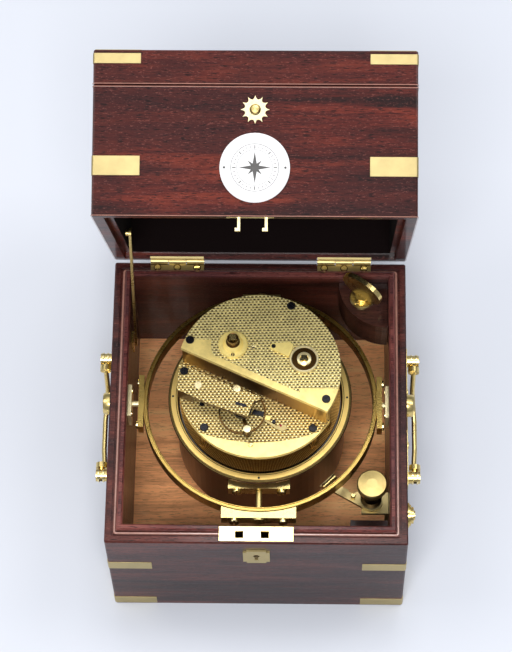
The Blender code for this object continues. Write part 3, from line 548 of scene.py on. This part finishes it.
# ---------------------------------------------------------------- mesh helpers
def piece(name, bm, look, body, opened=False, bevel=0.0):
    """Make a riding piece from a bmesh in millimetres."""
    bmesh.ops.recalc_face_normals(bm, faces=bm.faces)
    bmesh.ops.scale(bm, vec=(MM, MM, MM), verts=bm.verts)
    if opened:
        bmesh.ops.transform(bm, matrix=OPENING, verts=bm.verts)
    mesh = bpy.data.meshes.new(name)
    bm.to_mesh(mesh)
    bm.free()
    mesh.shade_smooth()
    mesh.set_sharp_from_angle(angle=SMOOTH_BELOW)
    obj = bpy.data.objects.new(name, mesh)
    bpy.context.scene.collection.objects.link(obj)
    mesh.materials.append(MATS[look])
    if bevel:
        mod = obj.modifiers.new("bevel", "BEVEL")
        mod.width = bevel * MM
        mod.segments = 2
        mod.angle_limit = BEVEL_ABOVE
    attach(obj, body)


def at(x, y, z=0.0):
    """Shift to a place."""
    return Matrix.Translation((x, y, z))


def aim(direction):
    """Rotation that takes +Z to a direction."""
    up = Vector((0, 0, 1))
    return up.rotation_difference(Vector(direction).normalized()).to_matrix().to_4x4()


def add_prism(bm, outline, low, high, place=Matrix.Identity(4)):
    """Extrude an outline from one height to another."""
    rings = [
        [bm.verts.new(place @ Vector((u, v, w))) for u, v in outline] for w in (low, high)
    ]
    bm.faces.new(rings[0])
    bm.faces.new(list(reversed(rings[1])))
    count = len(outline)
    for i in range(count):
        j = (i + 1) % count
        bm.faces.new((rings[0][i], rings[0][j], rings[1][j], rings[1][i]))


def add_lathe(bm, profile, place=Matrix.Identity(4), steps=24, closed=False):
    """Spin a profile; it starts and ends on the axis unless closed into a ring."""
    rings = []
    for radius, height in profile:
        if radius == 0:
            rings.append([bm.verts.new(place @ Vector((0, 0, height)))])
            continue
        rings.append([
            bm.verts.new(place @ Vector((radius * math.cos(t), radius * math.sin(t), height)))
            for t in (2 * math.pi * k / steps for k in range(steps))
        ])
    last = len(rings) if closed else len(rings) - 1
    for i in range(last):
        one, two = rings[i], rings[(i + 1) % len(rings)]
        for k in range(max(len(one), len(two))):
            n = k + 1
            corners = [one[k % len(one)], one[n % len(one)], two[n % len(two)], two[k % len(two)]]
            bm.faces.new(list(dict.fromkeys(corners)))


def lathed(name, profile, place, steps, look, body, slot, closed=False, opened=False):
    """A piece of one spun profile."""
    bm = bmesh.new()
    add_lathe(bm, profile, place, steps, closed)
    piece(name, bm, look, body, opened)


def cut_out(name, outline, low, high, look, body, slot, opened=False, bevel=0.0, place=None):
    """A piece of one prism."""
    bm = bmesh.new()
    add_prism(bm, outline, low, high, place or Matrix.Identity(4))
    piece(name, bm, look, body, opened, bevel)


def arc(center, radius, start, end, steps):
    """Points of an arc between two angles in degrees."""
    turns = (math.radians(start + (end - start) * k / steps) for k in range(steps + 1))
    return [(center[0] + radius * math.cos(t), center[1] + radius * math.sin(t)) for t in turns]


def ring_profile(inner, outer, low, high):
    """Square section of a flat ring."""
    return [(inner, low), (outer, low), (outer, high), (inner, high)]


def slotted_head(bm, spot, direction, radius, height, slot_angle):
    """Screw head with a bevelled rim and a sawn slot, standing on a surface."""
    steps = 10
    place = Matrix.Translation(Vector(spot)) @ aim(direction) @ Matrix.Rotation(slot_angle, 4, "Z")
    half, depth = radius * 0.19, height * 0.55   # of the slot
    cut = math.degrees(math.asin(half / radius))
    for sign in (0, 180):
        outline = arc((0, 0), radius, sign + cut, sign + 180 - cut, steps)
        top = [(u * 0.86, v if abs(v) < half * 1.05 else v * 0.9) for u, v in outline]
        rings = [
            [bm.verts.new(place @ Vector((u, v, w))) for u, v in path]
            for path, w in ((outline, 0), (outline, height - 0.12 * radius), (top, height))
        ]
        for low, high in zip(rings, rings[1:]):
            for k in range(len(outline)):
                n = (k + 1) % len(outline)
                bm.faces.new((low[k], low[n], high[n], high[k]))
        bm.faces.new(rings[0])
        bm.faces.new(rings[-1])
    end = radius * 0.98
    bar = [(-end, -half), (end, -half), (end, half), (-end, half)]
    add_prism(bm, bar, 0, height - depth, place)


def screws(name, spots, direction, radius, height, look, body, slot):
    """One piece for each screw of a set, every slot at its own angle."""
    first_turn, next_turn = 0.6, 0.9
    for number, spot in enumerate(spots, 1):
        bm = bmesh.new()
        slotted_head(bm, spot, direction, radius, height, first_turn + next_turn * number)
        piece(f"{name}_{number}", bm, look, body)


# ---------------------------------------------------------------- box trim
def corner_path(sx, sy, long, proud):
    """Plan outline of a strap laid round one vertical corner of the box."""
    deep = 0.8
    out_x, out_y = HALF_X + proud, HALF_Y + proud
    in_x, in_y = HALF_X - deep, HALF_Y - deep
    radius = CORNER_R + proud
    points = [(out_x - long, out_y)]
    points += arc((out_x - radius, out_y - radius), radius, 90, 0, 4)
    points += [(out_x, out_y - long), (in_x, out_y - long), (in_x, in_y), (out_x - long, in_y)]
    return [(sx * x, sy * y) for x, y in points]


def corner_straps():
    """Three straps round each corner of the box and the lid, and one on each top corner."""
    proud, long, wide = 0.3, 27.5, 11.0
    x1, y1 = HALF_X - 1.0, HALF_Y - 1.0
    x0, y0 = x1 - long + 1, y1 - long + 1
    ell = [(x1, y1), (x0, y1), (x0, y1 - wide), (x1 - wide, y1 - wide), (x1 - wide, y0), (x1, y0)]
    for front, sy in (("front", -1), ("rear", 1)):
        for side, sx in (("left", -1), ("right", 1)):
            path = corner_path(sx, sy, long, proud)
            end = f"_{front}_{side}"
            for name, low, high, body, slot, opened in (
                    ("strap_base_low", 1.2, 11.8, "box", "keyhole_escutcheon", False),
                    ("strap_base_high", 66.0, 76.8, "box", "keyhole_escutcheon", False),
                    ("strap_frame", 135.9, 147.2, "middle", "star_escutcheon", True),
                    ("strap_lid", 200.4, 206.4, "lid", "star_escutcheon", True)):
                cut_out(name + end, path, low, high, "satin", body, slot, opened, 0.15)
            cut_out("strap_top" + end, [(sx * x, sy * y) for x, y in ell], LID_TOP - 0.4,
                    LID_TOP + 0.25, "satin", "lid", "star_escutcheon", True, 0.12)


def loop_path(half_x, half_y, radius):
    """Rounded rectangle in plan."""
    points = []
    for sx, sy, start in ((1, 1, 0), (-1, 1, 90), (-1, -1, 180), (1, -1, 270)):
        center = (sx * (half_x - radius), sy * (half_y - radius))
        points += arc(center, radius, start, start + 90, 4)
    return points


def bead_loop(name, half_x, half_y, height, size, body, opened=False, gap=0.0):
    """Round-topped moulding round the box, stopped short of a gap at the middle of the front."""
    bm = bmesh.new()
    section = [(-0.5 * size, 0), (0.5 * size, 0), (0.5 * size, 0.35 * size),
               (0.25 * size, 0.62 * size), (-0.25 * size, 0.62 * size), (-0.5 * size, 0.35 * size)]
    rings = []
    for out, up in section:
        path = loop_path(half_x + out, half_y + out, max(CORNER_R + out, 0.3))
        if gap:
            split = 3 * len(path) // 4
            path = [(gap, -half_y - out)] + path[split:] + path[:split] + [(-gap, -half_y - out)]
        rings.append([bm.verts.new((x, y, height + up)) for x, y in path])
    count = len(rings[0])
    for i, one in enumerate(rings):
        two = rings[(i + 1) % len(rings)]
        for k in range(count - 1 if gap else count):
            n = (k + 1) % count
            bm.faces.new((one[k], one[n], two[n], two[k]))
    if gap:
        bm.faces.new([ring[0] for ring in rings])
        bm.faces.new([ring[-1] for ring in rings])
    # The bead's colour is lightened as a painted highlight.
    piece(name, bm, "lacquer_highlight", body, opened)


def beads():
    """Mouldings of the rim and of the lid's joints."""
    inset = 6.1
    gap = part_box("striker_plate")[1].x * 1000 + 0.2
    bead_loop("rim_bead", HALF_X - inset, HALF_Y - inset, 111.6, 1.4, "box", gap=gap)
    for name, z, body in (("frame_bead_low", 112.75, "middle"),
                          ("frame_bead_high", 186.9, "middle"), ("lid_bead", 188.6, "lid")):
        bead_loop(name, HALF_X + 0.05, HALF_Y + 0.05, z, 0.8, body, True)


def rim_details():
    """Hinge screws, and on both sides handle screws, post bands, gimbal bosses and screws."""
    sink_shade = ring_profile(1.92, 2.45, -0.05, 0.1)
    band = [(3.75, 0), (4.35, 0.15), (4.35, 1.0), (3.75, 1.15)]
    boss = [(0, 0), (7.0, 0), (7.0, 3.2), (6.3, 4.4), (3.0, 4.7), (0, 4.7)]
    bail_face, bracket_face, bracket_z = 93.8, 79.2, 104.6
    for side, sx in (("left", -1), ("right", 1)):
        handle, outward = "handle_" + side, (sx, 0, 0)
        lo, hi = (v * 1000 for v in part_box("hinge_base_" + side))
        y = lo.y + 3.2
        spots = [(x, y, LEAF_TOP) for x in (lo.x + 4.4, (lo.x + hi.x) / 2, hi.x - 4.4)]
        screws("hinge_screw_" + side, spots, (0, 0, 1), 1.9, 0.5, "bright", "box", "striker_plate")
        # Painted shade: a thin dark ring round each hinge screw stands in for the shade in its
        # countersink.
        for number, spot in enumerate(spots, 1):
            lathed(f"hinge_sink_shade_{side}_{number}", sink_shade, at(*spot), 20, "bronze", "box", "balance",
                   closed=True)
        spots = [(sx * bail_face, y, HANDLE_Z) for y in (-18.0, 18.0)]
        screws("handle_screw_" + side, spots, outward, 2.3, 0.7, "brass", "box", handle)
        for end, y in (("front", -39.8), ("rear", 39.8)):
            bm = bmesh.new()
            for reach in (96.2, 99.2):
                add_lathe(bm, band, at(sx * reach, y, HANDLE_Z) @ aim(outward), 24, True)
            piece(f"post_band_{side}_{end}", bm, "bright", "box")
        place = at(sx * (HALF_X + 0.1), GIMBAL.y, GIMBAL.z) @ aim(outward)
        lathed("gimbal_boss_" + side, boss, place, 32, "brass", "box", handle)
        spots = [(sx * bracket_face, GIMBAL.y + dy, bracket_z) for dy in (-7.8, 7.8)]
        screws("bracket_screw_" + side, spots, (-sx, 0, 0), 2.0, 0.7, "bright", "box",
               "gimbal_bracket_" + side)
    rings = [(0, 0), (7.8, 0), (7.8, 1.6), (6.6, 1.9), (6.6, 2.6), (5.2, 2.9), (5.2, 4.2),
             (3.0, 4.6), (3.0, 5.2), (0, 5.2)]
    lathed("lock_bush", rings, at(HALF_X + 0.1, -66.0, 86.0) @ aim((1, 0, 0)), 32, "brass", "box",
           "handle_right")


def front_trim():
    """Compass engraving on the plaque, and the plaque's two pins."""
    lo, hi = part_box("plaque")
    middle = OPENING.inverted() @ ((lo + hi) / 2) * 1000
    upright = Matrix.Rotation(math.radians(90), 4, "X")
    place = at(middle.x, PLAQUE_FACE, middle.z) @ upright
    bm = bmesh.new()
    points, sunk, raised = 4, -0.02, 0.05
    for long, wide, turn in ((9.4, 1.9, 0), (6.0, 1.5, 45)):
        for k in range(points):
            t = math.radians(turn + 360 * k / points)
            tip = Vector((math.cos(t), math.sin(t))) * long
            left, right = (
                Vector((math.cos(t + lean), math.sin(t + lean))) * wide for lean in (-0.785, 0.785)
            )
            add_prism(bm, [(0, 0), tuple(left), tuple(tip * 0.96)], sunk, 0.03, place)
            add_prism(bm, [(0, 0), tuple(tip), tuple(right)], sunk, raised, place)
    strokes = 32
    for k in range(strokes):
        r0, r1, w = (11.2, 12.4, 0.16) if k % 4 else (10.8, 12.8, 0.26)
        spoke = Matrix.Rotation(2 * math.pi * k / strokes, 4, "Z")
        add_prism(bm, [(r0, -w), (r1, -w), (r1, w), (r0, w)], sunk, raised, place @ spoke)
    for radius, wide in ((13.6, 0.14), (10.2, 0.1)):
        r0, r1 = radius - wide, radius + wide
        add_lathe(bm, ring_profile(r0, r1, sunk, 0.04), place, 64, True)
    piece("plaque_engraving", bm, "ink", "middle", True)
    pin = [(0, -0.1), (0.75, -0.1), (0.6, 0.25), (0, 0.35)]
    for number, dx in enumerate((-17.4, 17.4), 1):
        place = at(middle.x + dx, PLAQUE_FACE, middle.z) @ aim((0, -1, 0))
        lathed(f"plaque_pin_{number}", pin, place, 12, "ink", "middle", "plaque", opened=True)


# ---------------------------------------------------------------- movement trim
def movement_screws():
    """Screws of the plates and the cock, and the bushes of two pivots."""
    up, blued = (0, 0, 1), ("blued", "movement", "minute_hand")
    top, low, cock = UPPER_HI.z, LOWER_HI.z, COCK_HI.z
    spots = [(-41.2, 20.0, top), (20.3, 43.4, top), (42.0, -18.6, top)]
    screws("plate_screw", spots, up, 2.6, 1.0, *blued)
    screws("low_plate_screw", [(-32.1, -29.5, low), (34.2, -29.5, low)], up, 2.6, 1.0, *blued)
    screws("cock_screw", [(-44.6, 2.4, cock)], up, 2.6, 1.0, *blued)
    screws("cock_pin_screw", [(-35.8, -6.9, cock)], up, 2.4, 0.7, "pale", "movement",
           "balance_cock")
    screws("click_screw", [(9.9, 15.6, SCREW_SEAT)], up, 1.3, 0.7, *blued)
    bush = [(0.5, -0.05), (1.2, -0.05), (1.2, 0.18), (0.9, 0.26), (0.5, 0.1)]
    jewel = [(0, -0.03), (0.48, -0.03), (0.36, 0.09), (0, 0.1)]
    for number, spot in enumerate([(-2.6, 15.5, top), (0.6, 0.4, top)], 1):
        lathed(f"pivot_bush_{number}", bush, at(*spot), 16, "bright", "movement", "upper_plate",
               closed=True)
        lathed(f"pivot_jewel_{number}", jewel, at(*spot), 12, *blued)


def movement_details():
    """Barrel cap, collars of the winding square, balance weight caps, cock slot and stop; the
    barrel's recess ring is a painted dark reflection and the cock slot a dark plate of painted
    shade.
    """
    barrel = sum((v * 500 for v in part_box("ratchet_wheel")), Vector())
    boss = sum((v * 500 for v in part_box("winding_boss")), Vector())
    cap = [(2.7, 158.7), (4.3, 158.7), (4.3, 159.5), (3.7, 159.9), (2.7, 159.9)]
    collar = [(7.5, 157.3), (8.9, 157.3), (8.9, 158.9), (8.5, 159.4), (7.9, 159.4), (7.5, 158.9)]
    recess = ring_profile(4.5, 7.45, 158.62, 158.72)
    base = [(3.05, 162.02), (4.3, 162.02), (4.1, 162.4), (3.05, 162.5)]
    socket = [(2.85, 163.3), (3.4, 162.6), (3.5, 167.2), (3.2, 167.6), (2.85, 167.4)]
    for name, profile, center, steps, look, slot in (
            ("barrel_cap", cap, barrel, 32, "pale", "ratchet_wheel"),
            ("barrel_collar", collar, barrel, 40, "pale", "ratchet_wheel"),
            # the recess ring is a flat dark ring: a painted dark reflection of the polished recess
            ("barrel_recess_reflection", recess, barrel, 32, "bronze", "balance"),
            ("winding_collar", base, boss, 24, "bronze", "winding_boss"),
            ("winding_socket", socket, boss, 24, "bronze", "winding_boss")):
        place = at(center.x, center.y)
        lathed(name, profile, place, steps, look, "movement", slot, closed=True)
    screws("boss_screw", [(boss.x, boss.y - 7.2, SCREW_SEAT)], (0, 0, 1), 1.1, 0.8, "blued",
           "movement", "minute_hand")
    lean = math.radians(WEIGHT_LEAN)
    weight = [(0, 146.62), (2.4, 146.62), (2.3, 146.75), (1.6, 146.82), (0, 146.82)]
    for number, reach in enumerate((-WEIGHT_REACH, WEIGHT_REACH), 1):
        place = at(BALANCE.x + reach * math.cos(lean), BALANCE.y + reach * math.sin(lean))
        lathed(f"balance_weight_cap_{number}", weight, place, 20, "pale", "balance", "balance")
    # The cock's slot is a thin dark plate: painted shade of the slot.
    slot = arc((2.6, 0), 1.0, -90, 90, 6) + arc((-2.6, 0), 1.0, 90, 270, 6)
    cut_out("cock_slot_shade", slot, -0.02, 0.06, "blued", "movement", "minute_hand",
            place=at(-9.6, -19.4, COCK_HI.z) @ Matrix.Rotation(math.radians(-14), 4, "Z"))
    stop = [(0, 137.25), (1.7, 137.25), (1.7, 138.4), (1.3, 138.6), (0, 138.6)]
    lathed("balance_stop", stop, at(-3.6, -40.2), 16, "brass", "movement", "lower_plate")


def escapement_details():
    """Blued block, gold stud, post, jewel and small screw on the lower plate."""
    z, blued = LOWER_HI.z, ("blued", "movement", "minute_hand")
    block = [(-3.2, -20.8), (-2.2, -18.0), (4.6, -19.4), (3.8, -22.2)]
    cut_out("detent_block", block, z - 0.05, z + 1.5, *blued)
    stud = [(4.7, -24.4), (5.4, -21.9), (8.4, -22.6), (7.7, -25.1)]
    cut_out("detent_stud", stud, z - 0.05, z + 1.9, "cream", "movement", "click")
    for name, x, y, radius, look in (("detent_post", 10.4, -25.6, 1.35, "blued"),
                                     ("jewel_cap", 14.6, -28.4, 0.8, "ruby")):
        profile = [(0, -0.05), (radius, -0.05), (radius * 0.85, 1.5), (0, 1.5)]
        lathed(name, profile, at(x, y, z), 16, look, "movement", "minute_hand")
    screws("small_screw", [(-33.7, -14.0, z)], (0, 0, 1), 1.5, 0.8, *blued)


def edge_details():
    """Four small pins and two turned lines in the brass edge."""
    z = EDGE_HI.z
    for number, radius in enumerate((52.2, 55.6), 1):
        line = ring_profile(radius - 0.2, radius + 0.2, z - 0.03, z + 0.04)
        lathed(f"edge_line_{number}", line, at(GIMBAL.x, GIMBAL.y), 96, "aged", "movement",
               "edge_ring", closed=True)
    pin, reach = [(0, -0.05), (0.75, -0.05), (0.6, 0.12), (0, 0.12)], 54.1
    for number in range(4):
        t = math.radians(90 * number)
        place = at(GIMBAL.x + reach * math.cos(t), GIMBAL.y + reach * math.sin(t), z)
        lathed(f"edge_pin_{number + 1}", pin, place, 12, "blued", "movement", "minute_hand")


def gimbal_details():
    """Screws of the ring's front block, of the bowl's pivot plates and of the ring's side pads."""
    x, y, z = GIMBAL
    spots = [(x + dx, y - 77.2, z) for dx in (-15.0, 15.0)]
    screws("ring_screw_front", spots, (0, -1, 0), 3.1, 2.2, "bright", "ring", "ring_block_front")
    for end, s in (("front", -1), ("rear", 1)):
        spots = [(x + dx, y + s * 58.0, z) for dx in (-13.9, 13.9)]
        screws("bowl_screw_" + end, spots, (0, s, 0), 3.1, 1.8, "bright", "bowl",
               "bowl_pivot_" + end)
    for side, s in (("left", -1), ("right", 1)):
        spots = [(x + s * 76.0, y + dy, z) for dy in (-14.3, 14.3)]
        screws("pad_screw_" + side, spots, (s, 0, 0), 2.5, 1.3, "bright", "ring", "gimbal_ring")


def key_details():
    """Screws of the key's socket."""
    top = 108.4
    spots = [(KEY.x - 4.3, KEY.y - 3.8, top), (KEY.x + 5.4, KEY.y - 2.0, top)]
    screws("key_socket_screw", spots, (0, 0, 1), 1.4, 0.4, "bright", "box", "key_socket")


def lock_details():
    """Upright pin and the padded cross bar on the locking arm."""
    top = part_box("lock_arm")[1].z * 1000
    pin = [(0, -0.1), (1.5, -0.1), (1.5, 3.0), (1.1, 3.6), (0, 3.6)]
    lathed("lock_arm_pin", pin, at(59.5, -54.0, top), 16, "brass", "arm", "lock_arm")
    half = [(0, 5.2), (1.7, 5.2), (1.9, 4.6), (1.9, 3.6), (1.4, 3.4)]
    bar = [(radius, -reach) for radius, reach in half] + half[::-1]
    place = at(44.7, -44.3, top + 1.75) @ aim((0.71, 0.70, 0))
    lathed("lock_arm_pad", bar, place, 20, "brass", "arm", "lock_arm")


# ---------------------------------------------------------------- stage, light, camera
def stage():
    """Pale paper ground and a cool, dim surround."""
    size = 12.0
    corners = [(-size, -size, 0), (size, -size, 0), (size, size, 0), (-size, size, 0)]
    mesh = bpy.data.meshes.new("floor")
    mesh.from_pydata(corners, [], [(0, 1, 2, 3)])
    floor = bpy.data.objects.new("floor", mesh)
    bpy.context.scene.collection.objects.link(floor)
    s = Shader("floor_paper", (0.585, 0.606, 0.66), 0.9)
    s.set("Specular IOR Level", 0.1)
    s.set("Emission Color", (0.78, 0.82, 0.88, 1))
    s.set("Emission Strength", 0.05)
    mesh.materials.append(s.mat)
    world = bpy.data.worlds.new("studio")
    bpy.context.scene.world = world
    world.use_nodes = True
    back = world.node_tree.nodes["Background"]
    back.inputs["Color"].default_value = (0.86, 0.91, 1.0, 1)
    back.inputs["Strength"].default_value = 0.34


def softbox(name, place, target, size, power, color=(1, 1, 1)):
    """Rectangular area light aimed at a target."""
    lamp = bpy.data.lights.new(name, "AREA")
    lamp.shape = "RECTANGLE"
    lamp.size, lamp.size_y = size
    lamp.energy = power
    lamp.color = color
    obj = bpy.data.objects.new(name, lamp)
    obj.location = place
    obj.rotation_euler = (Vector(target) - Vector(place)).to_track_quat("-Z", "Y").to_euler()
    bpy.context.scene.collection.objects.link(obj)


def lights():
    """Five soft lights aimed at the middle of the box."""
    center = (0, 0, 0.12)
    softbox("key_left", (-1.3, 0.2, 1.9), center, (0.9, 1.2), 12.5, (1, 0.98, 0.95))
    softbox("top_back", (0.05, 1.15, 2.5), center, (2.4, 2.0), 16)
    softbox("overhead", (0.1, 0.45, 2.3), center, (0.6, 0.5), 8)
    softbox("camera_side", (-0.1, -1.1, 2.1), center, (0.9, 0.5), 36)
    softbox("high_right", (1.2, 0.3, 2.0), center, (0.8, 0.9), 11.5)


def camera():
    """Camera above the front edge, aimed down at the open box."""
    pitch, yaw, roll = (math.radians(v) for v in (65.06, -2.73, 2.09))
    flat = math.cos(pitch)
    ahead = Vector((math.sin(yaw) * flat, math.cos(yaw) * flat, -math.sin(pitch)))
    right = Vector((math.cos(yaw), -math.sin(yaw), 0))
    down = ahead.cross(right)
    right, down = (math.cos(roll) * right + math.sin(roll) * down,
                   -math.sin(roll) * right + math.cos(roll) * down)
    cam = bpy.data.cameras.new("camera")
    cam.sensor_width = 36
    cam.lens = 145.0
    obj = bpy.data.objects.new("camera", cam)
    turn = Matrix((right, -down, -ahead)).transposed().to_4x4()
    stand = (0.0312, -0.6467, 1.6133)
    obj.matrix_world = at(*stand) @ turn
    bpy.context.scene.collection.objects.link(obj)
    bpy.context.scene.camera = obj
    bpy.context.scene.view_settings.view_transform = "Standard"


camera()
stage()
lights()
dress_nodes()
corner_straps()
rim_details()
front_trim()
movement_screws()
movement_details()
escapement_details()
edge_details()
gimbal_details()
beads()
key_details()
lock_details()
